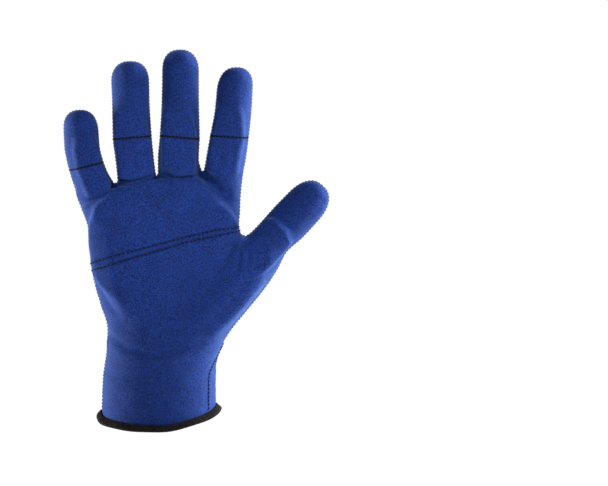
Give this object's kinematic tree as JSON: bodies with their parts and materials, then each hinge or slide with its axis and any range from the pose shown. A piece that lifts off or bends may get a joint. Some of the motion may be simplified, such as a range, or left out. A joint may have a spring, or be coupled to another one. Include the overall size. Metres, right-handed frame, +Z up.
{
  "type": "anti-impact glove liner",
  "caption": "Close-fitting knitted liner glove for the right hand, with padding under the cloth of the palm, fingers and thumb, quilted by stitched lines, and an overlocked wrist edge.",
  "frame": {"origin": "the middle of the wrist opening, at the height of the hem at the little finger's side", "axes": "+Z runs up the fingers, the palm faces -Y and the thumb points to +X; the wrist opening faces -Z"},
  "size_m": [0.1655, 0.058, 0.2372],
  "materials": {
    "jersey": "fine knitted cloth with a soft brushed face",
    "overlock_thread": "dark thread, wrapped densely round the edge",
    "foam_pad": "matt elastic foam"
  },
  "bodies": {
    "root": {"palm_panel": "jersey", "back_panel": "jersey", "cuff_binding": "overlock_thread", "little_pad_lower": "foam_pad", "little_pad_upper": "foam_pad", "ring_pad_lower": "foam_pad", "ring_pad_upper": "foam_pad", "middle_pad_lower": "foam_pad", "middle_pad_upper": "foam_pad", "index_pad_lower": "foam_pad", "index_pad_upper": "foam_pad", "palm_pad_upper": "foam_pad", "palm_pad_heel": "foam_pad", "thumb_pad": "foam_pad"}
  },
  "joints": []
}
